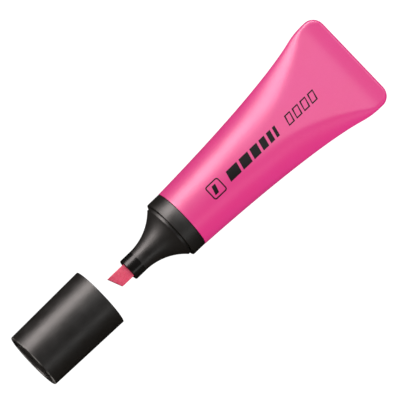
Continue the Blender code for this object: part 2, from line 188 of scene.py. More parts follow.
def deselect_all() -> None:
    """Leaves object mode with nothing selected."""
    if bpy.context.object is not None and bpy.context.object.mode != "OBJECT":
        bpy.ops.object.mode_set(mode="OBJECT")
    bpy.ops.object.select_all(action="DESELECT")


def activate(piece: Object) -> None:
    """Makes a piece the only one selected, and the active one."""
    deselect_all()
    piece.select_set(True)
    bpy.context.view_layer.objects.active = piece


def edit_all(piece: Object) -> None:
    """Enters edit mode on a piece with all of it selected."""
    activate(piece)
    bpy.ops.object.mode_set(mode="EDIT")
    bpy.ops.mesh.select_all(action="SELECT")


def select_where(piece: Object, test: Callable[[Vector], bool]) -> None:
    """Enters edit mode with only the chosen vertices selected.

    Args:
        piece: the piece to edit.
        test: says for a vertex's place whether it is chosen.
    """
    activate(piece)
    bpy.ops.object.mode_set(mode="EDIT")
    bpy.ops.mesh.select_mode(type="VERT")
    bpy.ops.mesh.select_all(action="DESELECT")
    bpy.ops.object.mode_set(mode="OBJECT")
    for vertex in piece.data.vertices:
        vertex.select = test(vertex.co)
    bpy.ops.object.mode_set(mode="EDIT")


def apply_modifier(piece: Object, kind: str, **settings: object) -> None:
    """Adds a modifier, sets it and applies it.

    Args:
        piece: the piece to change.
        kind: the modifier's type.
        **settings: the modifier's properties.
    """
    activate(piece)
    modifier = piece.modifiers.new(kind.lower(), kind)
    for name, value in settings.items():
        setattr(modifier, name, value)
    bpy.ops.object.modifier_apply(modifier=modifier.name)


def cut_away(piece: Object, cutters: Sequence[Object]) -> None:
    """Cuts pieces out of a piece and removes the cutters.

    Args:
        piece: the piece to cut.
        cutters: closed shapes to take away.
    """
    for cutter in cutters:
        apply_modifier(piece, "BOOLEAN", operation="DIFFERENCE", object=cutter, solver="EXACT")
        bpy.data.objects.remove(cutter)


def join(pieces: Sequence[Object]) -> Object:
    """Joins pieces into the first of them.

    Args:
        pieces: the pieces, the one to keep first.

    Returns:
        The joined piece.
    """
    deselect_all()
    for piece in pieces:
        piece.select_set(True)
    bpy.context.view_layer.objects.active = pieces[0]
    bpy.ops.object.join()
    return pieces[0]


def settle(piece: Object, angle: float = 32.0) -> Object:
    """Turns faces outwards, shades smooth up to an angle and puts the object at the origin.

    Args:
        piece: the piece to settle.
        angle: sharpest edge that is shaded smooth, in degrees.

    Returns:
        The same piece.
    """
    edit_all(piece)
    bpy.ops.mesh.remove_doubles(threshold=DOUBLES_M)
    bpy.ops.mesh.normals_make_consistent(inside=False)
    bpy.ops.object.mode_set(mode="OBJECT")
    bpy.ops.object.transform_apply(location=True, rotation=True, scale=True)
    bpy.ops.object.shade_smooth_by_angle(angle=math.radians(angle))
    return piece


@dataclass(frozen=True)
class Axis:
    """The pen's axis: where measuring starts, which way it runs, and how high it lies."""

    start_m: float
    height_m: float
    direction: int = 1

    def x(self, along: float) -> float:
        """Gives the place in metres of a distance along the axis."""
        return self.start_m + self.direction * to_metres(along)

    def point(self, along: float, radius: float) -> Vector:
        """Gives the point above the axis at a distance along it."""
        return Vector((self.x(along), 0.0, self.height_m + to_metres(radius)))

    def turn(self, angle: float) -> Matrix:
        """Gives the turn about the axis by an angle in radians."""
        height = Vector((0.0, 0.0, self.height_m))
        turn = Matrix.Rotation(angle, 4, "X")
        return Matrix.Translation(height) @ turn @ Matrix.Translation(-height)


def turned(
    name: str, axis: Axis, outline: Outline, closed: bool = True, around: int = AROUND
) -> Object:
    """Draws an outline point by point and spins it round the pen's axis.

    Args:
        name: the piece's name.
        axis: the axis to measure along and to spin round.
        outline: (along, radius) points.
        closed: whether the last point joins the first.
        around: pieces in the turn.

    Returns:
        The turned piece.
    """
    deselect_all()
    bpy.ops.mesh.primitive_plane_add(location=(0, 0, 0))
    piece = bpy.context.object
    piece.name = piece.data.name = name
    edit_all(piece)
    bpy.ops.mesh.select_mode(type="VERT")
    bpy.ops.mesh.merge(type="CENTER")
    bpy.ops.transform.translate(value=axis.point(*outline[0]))
    places = list(outline) + ([outline[0]] if closed else [])
    for before, after in zip(places, places[1:]):
        step = axis.point(*after) - axis.point(*before)
        bpy.ops.mesh.extrude_vertices_move(TRANSFORM_OT_translate={"value": step})
    bpy.ops.mesh.select_all(action="SELECT")
    bpy.ops.mesh.spin(steps=around, angle=math.tau, center=(0, 0, axis.height_m), axis=(1, 0, 0))
    return settle(piece)


def block(name: str, low: Sequence[float], high: Sequence[float]) -> Object:
    """Adds a cube at its size and place.

    Args:
        name: the piece's name.
        low: the lowest corner, in metres.
        high: the highest corner, in metres.

    Returns:
        The block, its size applied.
    """
    deselect_all()
    low_corner, high_corner = Vector(low), Vector(high)
    bpy.ops.mesh.primitive_cube_add(size=1, location=(low_corner + high_corner) / 2)
    piece = bpy.context.object
    piece.name = piece.data.name = name
    piece.scale = high_corner - low_corner
    bpy.ops.object.transform_apply(location=True, rotation=True, scale=True)
    return piece


def bar(name: str, axis: Axis, ends: tuple[float, float], width: float, height: float) -> Object:
    """Adds a block that is centred on the pen's axis.

    Args:
        name: the piece's name.
        axis: the axis it is centred on.
        ends: where it starts and ends along the axis.
        width: its size across the pen.
        height: its size from below to above.

    Returns:
        The block.
    """
    half = Vector((0.0, to_metres(width / 2), to_metres(height / 2)))
    return block(name, axis.point(ends[0], 0.0) - half, axis.point(ends[1], 0.0) + half)


def arc_slots(
    axis: Axis, near: float, far: float, inner: float, outer: float, count: int, share: float
) -> list[Object]:
    """Makes a ring of curved cutters by spinning a small square part of the way round.

    Args:
        axis: the axis to spin round.
        near: where the cutters start along the axis.
        far: where they end.
        inner: their inner radius.
        outer: their outer radius.
        count: how many there are.
        share: the share of its pitch that each one covers.

    Returns:
        The cutters.
    """
    pitch = math.tau / count
    sliver = Vector((0, SLIVER_M, 0))
    cutters = []
    for index in range(count):
        cutter = block("slot", axis.point(near, inner), axis.point(far, outer) + sliver)
        edit_all(cutter)
        bpy.ops.mesh.delete(type="ONLY_FACE")
        select_where(cutter, lambda place: place.y > SLIVER_M / 2)
        bpy.ops.mesh.delete(type="VERT")
        bpy.ops.mesh.select_all(action="SELECT")
        bpy.ops.mesh.edge_face_add()
        centre = (0, 0, axis.height_m)
        bpy.ops.mesh.spin(steps=SLOT_STEPS, angle=pitch * share, center=centre, axis=(1, 0, 0))
        bpy.ops.object.mode_set(mode="OBJECT")
        cutter.matrix_world = axis.turn(pitch * (index + 0.5 - share / 2))
        cutters.append(settle(cutter))
    return cutters


# ---------------------------------------------------------------------------------------
# Finishes
# ---------------------------------------------------------------------------------------

# A Mix node's sockets go by their places, because each data type repeats the same names.
SHARE, FIRST_VALUE, SECOND_VALUE, FIRST_COLOUR, SECOND_COLOUR = 0, 2, 3, 6, 7
MIXED_VALUE, MIXED_COLOUR = 0, 2


def per_metre(size: float) -> float:
    """Gives the scale of a pattern whose marks are a size in millimetres across."""
    return 1 / to_metres(size)


def feed(node: Node, inputs: dict[str | int, object]) -> None:
    """Sets a node's inputs to values or links them to outputs.

    Args:
        node: the node.
        inputs: for each input, a value or another node's output.
    """
    for name, value in inputs.items():
        if isinstance(value, NodeSocket):
            node.id_data.links.new(value, node.inputs[name])
        else:
            node.inputs[name].default_value = value


def add_node(
    tree: NodeTree,
    kind: str,
    output: str | int,
    inputs: dict[str | int, object] | None = None,
    **settings: object,
) -> NodeSocket:
    """Adds a node with its settings, values and links.

    Args:
        tree: the material's node tree.
        kind: the node's type.
        output: which of its outputs is wanted.
        inputs: for each input, a value or another node's output.
        **settings: the node's own properties.

    Returns:
        The wanted output.
    """
    node = tree.nodes.new(kind)
    for name, value in settings.items():
        setattr(node, name, value)
    feed(node, inputs or {})
    return node.outputs[output]


def new_tree(name: str) -> tuple[Material, NodeTree, Node, NodeSocket]:
    """Starts a material.

    Args:
        name: the material's name.

    Returns:
        The material, its node tree, its Principled shader and its Object coordinates.
    """
    material = bpy.data.materials.new(name)
    material.use_nodes = True
    tree = material.node_tree
    place = add_node(tree, "ShaderNodeTexCoord", "Object")
    return material, tree, tree.nodes["Principled BSDF"], place


@dataclass(frozen=True)
class MouldedPlastic:
    """An opaque injection-moulded plastic with a fine eroded texture, light handling marks and pale
    bands of rubbed wear and painted highlight.
    """

    name: str
    colour: str
    faded: str
    roughness: float
    roughness_spread: float = 0.06
    ior: float = 1.49
    cloud: float = 14.0
    smudge: float = 5.0
    grain: float = 0.22
    grain_depth: float = 0.004
    wave: float = 9.0
    wave_depth: float = 0.0
    scratch: float = 0.5
    scratch_stretch: float = 0.06
    scratch_roughness: float = 0.12
    scuffs: float = 0.25
    subsurface: float = 0.0
    subsurface_depth: float = 1.2
    coat: float = 0.0
    coat_roughness: float = 0.45
    # Pale bands across X, partly rubbed wear and partly a painted highlight: where they lie, how
    # wide they are, their colour.
    wear_and_highlight_at_m: tuple[float, ...] = ()
    wear_and_highlight_half_width: float = 0.28
    wear_and_highlight_colour: str = "8A8580"
    seam_height_m: float | None = None
    seam_half_width: float = 0.12
    seam_depth: float = 0.05
    pressed_from_m: float | None = None
    pressed_blend: float = 0.9
    pressed_roughness: float = 0.36

    def material(self) -> Material:
        """Builds the material.

        Returns:
            The material, with all its patterns on Object coordinates.
        """
        material, tree, shader, place = new_tree(self.name)
        cloud, smudge, grain = [
            add_node(
                tree,
                "ShaderNodeTexNoise",
                "Fac",
                {"Vector": place, "Scale": per_metre(size), "Detail": detail},
            )
            for size, detail in ((self.cloud, 3.0), (self.smudge, 6.0), (self.grain, 2.0))
        ]
        tone = add_node(
            tree,
            "ShaderNodeMapRange",
            "Result",
            {"Value": cloud, "From Min": 0.35, "From Max": 0.65},
        )
        colour = add_node(
            tree,
            "ShaderNodeMix",
            MIXED_COLOUR,
            {SHARE: tone, FIRST_COLOUR: linear(self.colour), SECOND_COLOUR: linear(self.faded)},
            data_type="RGBA",
        )
        # Each band is a pale line across X: partly rubbed wear, partly a painted highlight where an
        # edge would catch the light.
        for edge_m in self.wear_and_highlight_at_m:
            paler_share = self._band(tree, place, "X", edge_m, self.wear_and_highlight_half_width, smudge)
            colour = add_node(
                tree,
                "ShaderNodeMix",
                MIXED_COLOUR,
                {SHARE: paler_share, FIRST_COLOUR: colour, SECOND_COLOUR: linear(self.wear_and_highlight_colour)},
                data_type="RGBA",
            )
        feed(
            shader,
            {
                "Base Color": colour,
                "Roughness": self._dulled(tree, place, smudge),
                "Normal": self._relief(tree, place, grain),
                "IOR": self.ior,
                "Subsurface Weight": self.subsurface,
                "Subsurface Radius": (1.0, 0.25, 0.4),
                "Subsurface Scale": to_metres(self.subsurface_depth),
                "Coat Weight": self.coat,
                "Coat Roughness": self.coat_roughness,
            },
        )
        return material

    def _dulled(self, tree: NodeTree, place: NodeSocket, smudge: NodeSocket) -> NodeSocket:
        """Varies the roughness with smudges and thin marks, and smooths a pressed weld.

        Args:
            tree: the node tree.
            place: Object coordinates.
            smudge: the noise that the smudges follow.

        Returns:
            The roughness.
        """
        roughness = add_node(
            tree,
            "ShaderNodeMapRange",
            "Result",
            {
                "Value": smudge,
                "From Min": 0.3,
                "From Max": 0.7,
                "To Min": self.roughness - self.roughness_spread,
                "To Max": self.roughness + self.roughness_spread,
            },
        )
        if self.pressed_from_m is not None:
            blend_m = to_metres(self.pressed_blend)
            pressed = add_node(
                tree,
                "ShaderNodeMapRange",
                "Result",
                {
                    "Value": add_node(tree, "ShaderNodeSeparateXYZ", "X", {"Vector": place}),
                    "From Min": self.pressed_from_m - blend_m,
                    "From Max": self.pressed_from_m + blend_m,
                },
                interpolation_type="SMOOTHSTEP",
            )
            roughness = add_node(
                tree,
                "ShaderNodeMix",
                MIXED_VALUE,
                {SHARE: pressed, FIRST_VALUE: roughness, SECOND_VALUE: self.pressed_roughness},
            )
        drawn = add_node(
            tree,
            "ShaderNodeMapping",
            "Vector",
            {"Vector": place, "Scale": (self.scratch_stretch, 1.0, 1.0)},
        )
        marks = add_node(
            tree,
            "ShaderNodeTexNoise",
            "Fac",
            {"Vector": drawn, "Scale": per_metre(self.scratch), "Detail": 5.0},
        )
        scratches = add_node(
            tree,
            "ShaderNodeMapRange",
            "Result",
            {"Value": marks, "From Min": 0.62, "From Max": 0.72, "To Max": self.scuffs},
        )
        return add_node(
            tree,
            "ShaderNodeMath",
            "Value",
            {0: scratches, 1: self.scratch_roughness, 2: roughness},
            operation="MULTIPLY_ADD",
        )

    def _band(
        self,
        tree: NodeTree,
        place: NodeSocket,
        letter: str,
        middle_m: float,
        half: float,
        breakup: NodeSocket | None,
    ) -> NodeSocket:
        """Marks a narrow band across one coordinate.

        Args:
            tree: the node tree.
            place: Object coordinates.
            letter: the coordinate, X, Y or Z.
            middle_m: the band's middle, in metres.
            half: half its width in millimetres.
            breakup: noise that breaks the band up, or None for a whole one.

        Returns:
            1 in the band, falling to 0 at its sides.
        """
        axis = add_node(tree, "ShaderNodeSeparateXYZ", letter, {"Vector": place})
        off = add_node(
            tree, "ShaderNodeMath", "Value", {0: axis, 1: middle_m}, operation="SUBTRACT"
        )
        away = add_node(tree, "ShaderNodeMath", "Value", {0: off}, operation="ABSOLUTE")
        band = add_node(
            tree,
            "ShaderNodeMapRange",
            "Result",
            {"Value": away, "From Max": to_metres(half), "To Min": 1.0, "To Max": 0.0},
            interpolation_type="SMOOTHSTEP",
        )
        if breakup is None:
            return band
        broken = add_node(
            tree,
            "ShaderNodeMapRange",
            "Result",
            {"Value": breakup, "From Min": 0.42, "From Max": 0.62},
        )
        return add_node(tree, "ShaderNodeMath", "Value", {0: band, 1: broken}, operation="MULTIPLY")

    def _relief(self, tree: NodeTree, place: NodeSocket, grain: NodeSocket) -> NodeSocket:
        """Stacks the fine grain, the slow waves and the mould's parting line as bump.

        Args:
            tree: the node tree.
            place: Object coordinates.
            grain: the fine grain's noise.

        Returns:
            The bumped normal.
        """
        layers = [(grain, self.grain_depth)]
        if self.wave_depth:
            wave = add_node(
                tree,
                "ShaderNodeTexNoise",
                "Fac",
                {"Vector": place, "Scale": per_metre(self.wave), "Detail": 1.0},
            )
            layers.append((wave, self.wave_depth))
        if self.seam_height_m is not None:
            seam = self._band(tree, place, "Z", self.seam_height_m, self.seam_half_width, None)
            layers.append((seam, self.seam_depth))
        below: dict[str | int, object] = {}
        for height, depth in layers:
            inputs = {"Height": height, "Distance": to_metres(depth), **below}
            below = {"Normal": add_node(tree, "ShaderNodeBump", "Normal", inputs)}
        return below["Normal"]


@dataclass(frozen=True)
class BondedFibre:
    """A nib or reservoir of drawn fibres soaked with ink: matt, with streaks along the fibres."""

    name: str
    colour: str
    wet: str
    pale: str
    roughness: float = 0.62
    ior: float = 1.45
    fibre: float = 0.16
    fibre_depth: float = 0.03
    draw: float = 0.07
    damp: float = 2.2

    def material(self) -> Material:
        """Builds the material.

        Returns:
            The material, with fibres running along X in Object coordinates.
        """
        material, tree, shader, place = new_tree(self.name)
        drawn = add_node(
            tree, "ShaderNodeMapping", "Vector", {"Vector": place, "Scale": (self.draw, 1.0, 1.0)}
        )
        fibres, damp = [
            add_node(
                tree,
                "ShaderNodeTexNoise",
                "Fac",
                {"Vector": vector, "Scale": per_metre(size), "Detail": detail},
            )
            for vector, size, detail in ((drawn, self.fibre, 4.0), (place, self.damp, 2.0))
        ]
        colour = linear(self.colour)
        for noise, span, most, tint in (
            (damp, (0.35, 0.65), 1.0, self.wet),
            (fibres, (0.45, 0.75), 0.5, self.pale),
        ):
            share = add_node(
                tree,
                "ShaderNodeMapRange",
                "Result",
                {"Value": noise, "From Min": span[0], "From Max": span[1], "To Max": most},
            )
            colour = add_node(
                tree,
                "ShaderNodeMix",
                MIXED_COLOUR,
                {SHARE: share, FIRST_COLOUR: colour, SECOND_COLOUR: linear(tint)},
                data_type="RGBA",
            )
        depth_m = to_metres(self.fibre_depth)
        relief = add_node(tree, "ShaderNodeBump", "Normal", {"Height": fibres, "Distance": depth_m})
        feed(
            shader,
            {"Base Color": colour, "Normal": relief, "Roughness": self.roughness, "IOR": self.ior},
        )
        return material


@dataclass(frozen=True)
class PrintedInk:
    """Pad-printed ink: a thin, nearly black, slightly uneven film."""

    name: str
    colour: str
    thin: str
    roughness: float = 0.5
    ior: float = 1.25
    speck: float = 0.35

    def material(self) -> Material:
        """Builds the material.

        Returns:
            The material.
        """
        material, tree, shader, place = new_tree(self.name)
        speck = add_node(
            tree,
            "ShaderNodeTexNoise",
            "Fac",
            {"Vector": place, "Scale": per_metre(self.speck), "Detail": 3.0},
        )
        paler_share = add_node(
            tree, "ShaderNodeMapRange", "Result", {"Value": speck, "From Min": 0.6, "From Max": 0.8}
        )
        colour = add_node(
            tree,
            "ShaderNodeMix",
            MIXED_COLOUR,
            {SHARE: paler_share, FIRST_COLOUR: linear(self.colour), SECOND_COLOUR: linear(self.thin)},
            data_type="RGBA",
        )
        feed(shader, {"Base Color": colour, "Roughness": self.roughness, "IOR": self.ior})
        return material


@dataclass(frozen=True)
class ClearFilm:
    """A wrapping film, thin and glossy, faintly rippled where it is wound."""

    name: str
    colour: str
    creased: str
    roughness: float = 0.12
    clearness: float = 0.6
    ripple: float = 3.0
    ripple_depth: float = 0.02

    def material(self) -> Material:
        """Builds the material.

        Returns:
            The material.
        """
        material, tree, shader, place = new_tree(self.name)
        ripple = add_node(
            tree,
            "ShaderNodeTexWave",
            "Fac",
            {"Vector": place, "Scale": per_metre(self.ripple), "Distortion": 1.5},
        )
        depth_m = to_metres(self.ripple_depth)
        relief = add_node(tree, "ShaderNodeBump", "Normal", {"Height": ripple, "Distance": depth_m})
        tint = add_node(
            tree,
            "ShaderNodeMix",
            MIXED_COLOUR,
            {SHARE: ripple, FIRST_COLOUR: linear(self.colour), SECOND_COLOUR: linear(self.creased)},
            data_type="RGBA",
        )
        feed(
            shader,
            {
                "Base Color": tint,
                "Normal": relief,
                "Roughness": self.roughness,
                "Transmission Weight": self.clearness,
            },
        )
        return material


# ---------------------------------------------------------------------------------------
# The pen
# ---------------------------------------------------------------------------------------


def hand_over(piece: Object, body: Body, slot: Slot, finish: Material, *nodes: str) -> None:
    """Gives a piece its finish and its body, and hides the nodes it stands for.

    Args:
        piece: the finished piece.
        body: the body it rides on.
        slot: the record's slot; not used.
        finish: its material.
        *nodes: the CAD nodes it replaces.
    """
    if not piece.data.materials:
        piece.data.materials.append(finish)
    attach(piece, body.value)
    if nodes:
        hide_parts(*nodes)
    LOG.info("%s: %d faces, rides on %s", piece.name, len(piece.data.polygons), body.value)


@dataclass
class SoftTube:
    """The pink squeeze-tube body: round at its mouth, pressed flat and welded at its tail."""

    axis: Axis
    mouth_radius: float = 11.05
    wall: float = 1.2
    length: float = 78.0
    tail_width: float = 37.2
    band_half_thickness: float = 1.15
    band_start: float = 71.5
    corner_radius: float = 4.2
    end_rounding: float = 0.8
    weld_blend: float = 0.25
    cavity_end: float = 66.0
    plan: Controls = ((0, 11.05), (34, 12.4), (56, 15.0), (66, 17.85))
    side: Controls = ((20, 11.05), (34, 11.05), (52, 5.6), (71.5, 1.15))
    top_flat: Controls = ((20, 0), (45, 2.0), (58, 8.0), (71.5, 17.3))
    belly_flat: Controls = ((0, 0), (15, 5.0), (50, 6.0), (71.5, 17.3))
    shoulder_power: float = 1.45
    shoulder_start: tuple[float, float] = (26.0, 52.0)
    shoulder_end: tuple[float, float] = (66.0, 72.0)
    wide_rings: tuple[float, float, int] = (0.0, 60.0, 31)
    close_rings: tuple[float, float, int] = (61.0, 73.8, 26)
    corner_angles: tuple[int, ...] = (8, 16, 24, 32, 40, 47, 53, 59, 65, 70, 75, 80, 85, 90)
    inner_rings: int = 23
    section_points: int = 90

    def half_width(self, station: float) -> float:
        """Gives half the tube's width seen from above."""
        half = self.tail_width / 2
        plan_end, plan_width = self.plan[-1]
        corner_start = self.length - self.corner_radius
        if station <= plan_end:
            return bezier_height(self.plan, station)
        if station > corner_start:
            past = min(station - corner_start, self.corner_radius)
            return half - self.corner_radius + math.sqrt(self.corner_radius**2 - past**2)
        straight = self.band_start + 1.0
        left = max((straight - station) / (straight - plan_end), 0.0)
        return half - (half - plan_width) * left**2

    def half_height(self, station: float) -> float:
        """Gives half the tube's thickness seen from the side, blended into the flat band."""
        slope = (self.side[3][1] - self.side[2][1]) / (self.side[3][0] - self.side[2][0])
        wedge = bezier_height(self.side, station)
        if station > self.band_start:
            wedge = self.band_half_thickness + slope * (station - self.band_start)
        above = (wedge - self.band_half_thickness) / self.weld_blend
        softened = max(above, 0.0) + math.log1p(math.exp(-abs(above)))
        height = self.band_half_thickness + self.weld_blend * softened
        rounding_start = self.length - self.end_rounding
        if station > rounding_start:
            past = min(station - rounding_start, self.end_rounding)
            height -= self.end_rounding - math.sqrt(self.end_rounding**2 - past**2)
        return height

    def section(self, station: float, inset: float, on_top: bool) -> tuple[np.ndarray, np.ndarray]:
        """Gives a quarter of the tube's section: a rounded side that runs into a flat.

        Args:
            station: where the section is taken.
            inset: how far inside the outer skin it lies.
            on_top: whether it is an upper quarter or a lower one.

        Returns:
            The share of the quarter's length at each point, and the (across, up) points.
        """
        shoulders = eased(station, self.shoulder_start) * (1 - eased(station, self.shoulder_end))
        power = 2 - (2 - self.shoulder_power) * shoulders
        across = self.half_width(station) - inset * 2 / power
        up = self.half_height(station) - inset
        flat = bezier_height(self.top_flat if on_top else self.belly_flat, station)
        flat = min(flat, across - self.band_half_thickness)
        angles = np.linspace(0.0, math.pi / 2, self.section_points)
        cosines, sines = np.clip(np.cos(angles), 0.0, 1.0), np.sin(angles)
        sideways = flat + (across - flat) * cosines ** (2 / power)
        curve = np.stack([sideways, up * sines ** (2 / power)], axis=1)
        points = np.vstack([curve, [[0.0, up]]]) if flat > 1e-6 else curve
        steps = np.linalg.norm(np.diff(points, axis=0), axis=1)
        share = np.concatenate([[0.0], np.cumsum(steps)])
        return share / share[-1], points

    def stations(self) -> list[float]:
        """Lists the stations of the outer rings from the mouth to the tail's end."""
        corner_start = self.length - self.corner_radius
        corner = [
            corner_start + self.corner_radius * math.sin(math.radians(angle))
            for angle in self.corner_angles
        ]
        return [*np.linspace(*self.wide_rings), *np.linspace(*self.close_rings), *corner]

    def build(self, finish: Material) -> Object:
        """Spins a straight pipe and presses it to the tube's shape.

        Args:
            finish: the tube's material.

        Returns:
            The tube's skin.
        """
        inner_radius = self.mouth_radius - self.wall
        outside = [(station, self.mouth_radius) for station in reversed(self.stations())]
        inner_stations = np.linspace(0.0, self.cavity_end, self.inner_rings)
        inside = [(station, inner_radius) for station in inner_stations]
        outline = [(self.length, 0.0)] + outside + inside + [(self.cavity_end, 0.0)]
        tube = turned("soft_tube", self.axis, outline, closed=False)
        self._press(tube)
        settle(tube, angle=40.0)
        hand_over(tube, Body.PEN, Slot.SOFT_TUBE, finish, "tube_shell")
        return tube

    def _press(self, tube: Object) -> None:
        """Moves each ring of the straight pipe to the section it is pressed to."""
        sections: dict[tuple[float, float, bool], tuple[np.ndarray, np.ndarray]] = {}
        for vertex in tube.data.vertices:
            along = (vertex.co.x - self.axis.start_m) / to_metres(1)
            across = vertex.co.y / to_metres(1)
            up = (vertex.co.z - self.axis.height_m) / to_metres(1)
            radius = math.hypot(across, up)
            on_axis = radius < 0.01
            if on_axis:
                continue
            key = (round(along, 3), round(self.mouth_radius - radius, 2), up > 0)
            if key not in sections:
                sections[key] = self.section(*key)
            share, points = sections[key]
            quarter = math.atan2(abs(up), abs(across)) / (math.pi / 2)
            new_across, new_up = [np.interp(quarter, share, points[:, side]) for side in (0, 1)]
            vertex.co.y = math.copysign(to_metres(new_across), across)
            vertex.co.z = self.axis.height_m + math.copysign(to_metres(new_up), up)


@dataclass
class TubePrint:
    """Generic printing on the tube: a framed nib mark, a key of stroke widths and thin frames."""

    axis: Axis
    across: float = -0.55
    height: float = 3.6
    slant: float = 0.9
    gap: float = 1.0
    film: float = 0.03
    frame_line: float = 0.42
    strokes: tuple[float, ...] = (4.8, 4.0, 3.2, 2.5, 1.8, 1.2)
    strokes_start: float = 19.2
    mark_start: float = 10.8
    mark_width: float = 5.6
    mark_height: float = 5.4
    mark_corner: float = 0.9
    mark_corner_steps: int = 5
    mark_bar_start: float = 12.5
    mark_bar_width: float = 1.5
    mark_bar_height: float = 2.9
    frame_width: float = 2.6
    frame_starts: tuple[float, ...] = (46.2, 49.8, 53.4, 57.0)
    drop: float = 20.0
    divisions: int = 7

    def build(self, tube: Object, finish: Material) -> Object:
        """Lays flat shapes over the tube and presses them onto its skin.

        Args:
            tube: the tube's skin.
            finish: the ink.

        Returns:
            The print, one thin film.
        """
        shapes = []
        start = self.strokes_start
        for width in self.strokes:
            shapes.append(self._shape(start, (width, self.height), self.slant))
            start += width + self.gap
        mark_size = (self.mark_width, self.mark_height)
        shapes.append(self._shape(self.mark_start, mark_size, 0.0, self.mark_corner, framed=True))
        bar_size = (self.mark_bar_width, self.mark_bar_height)
        shapes.append(self._shape(self.mark_bar_start, bar_size, self.slant))
        frame_size = (self.frame_width, self.height)
        for start in self.frame_starts:
            shapes.append(self._shape(start, frame_size, self.slant, framed=True))
        printed = join(shapes)
        printed.name = printed.data.name = "tube_print"
        apply_modifier(
            printed,
            "SHRINKWRAP",
            target=tube,
            wrap_method="PROJECT",
            use_project_z=True,
            use_negative_direction=True,
            use_positive_direction=False,
            offset=to_metres(self.film / 2),
        )
        apply_modifier(printed, "SOLIDIFY", thickness=to_metres(self.film), offset=1.0)
        activate(printed)
        bpy.ops.object.transform_apply(location=True, rotation=True, scale=True)
        hand_over(printed, Body.PEN, Slot.SATIN_BLACK, finish)
        return printed

    def _shape(
        self,
        start: float,
        size: tuple[float, float],
        slant: float,
        corner: float = 0.0,
        framed: bool = False,
    ) -> Object:
        """Makes one slanted bar or frame above the tube.

        Args:
            start: the station of its first side.
            size: its width along the pen and its height across it.
            slant: how far its far side leads its near side.
            corner: the radius of its corners, 0 for sharp ones.
            framed: whether it is only an outline.

        Returns:
            The flat shape, finely divided.
        """
        deselect_all()
        middle = self.axis.point(start + size[0] / 2, self.drop)
        middle.y = to_metres(self.across)
        bpy.ops.mesh.primitive_plane_add(size=1, location=middle)
        shape = bpy.context.object
        shape.scale = (to_metres(size[0]), to_metres(size[1]), 1)
        bpy.ops.object.transform_apply(location=True, rotation=True, scale=True)
        if corner:
            edit_all(shape)
            bpy.ops.mesh.bevel(
                offset=to_metres(corner),
                offset_type="OFFSET",
                segments=self.mark_corner_steps,
                affect="VERTICES",
            )
        if framed:
            edit_all(shape)
            bpy.ops.mesh.inset(thickness=to_metres(self.frame_line))
            bpy.ops.mesh.delete(type="FACE")
        select_where(shape, lambda place: place.y > middle.y)
        bpy.ops.transform.translate(value=(to_metres(slant / 2), 0, 0))
        select_where(shape, lambda place: place.y < middle.y)
        bpy.ops.transform.translate(value=(-to_metres(slant / 2), 0, 0))
        bpy.ops.mesh.select_all(action="SELECT")
        bpy.ops.mesh.subdivide(number_cuts=self.divisions)
        bpy.ops.object.mode_set(mode="OBJECT")
        return shape


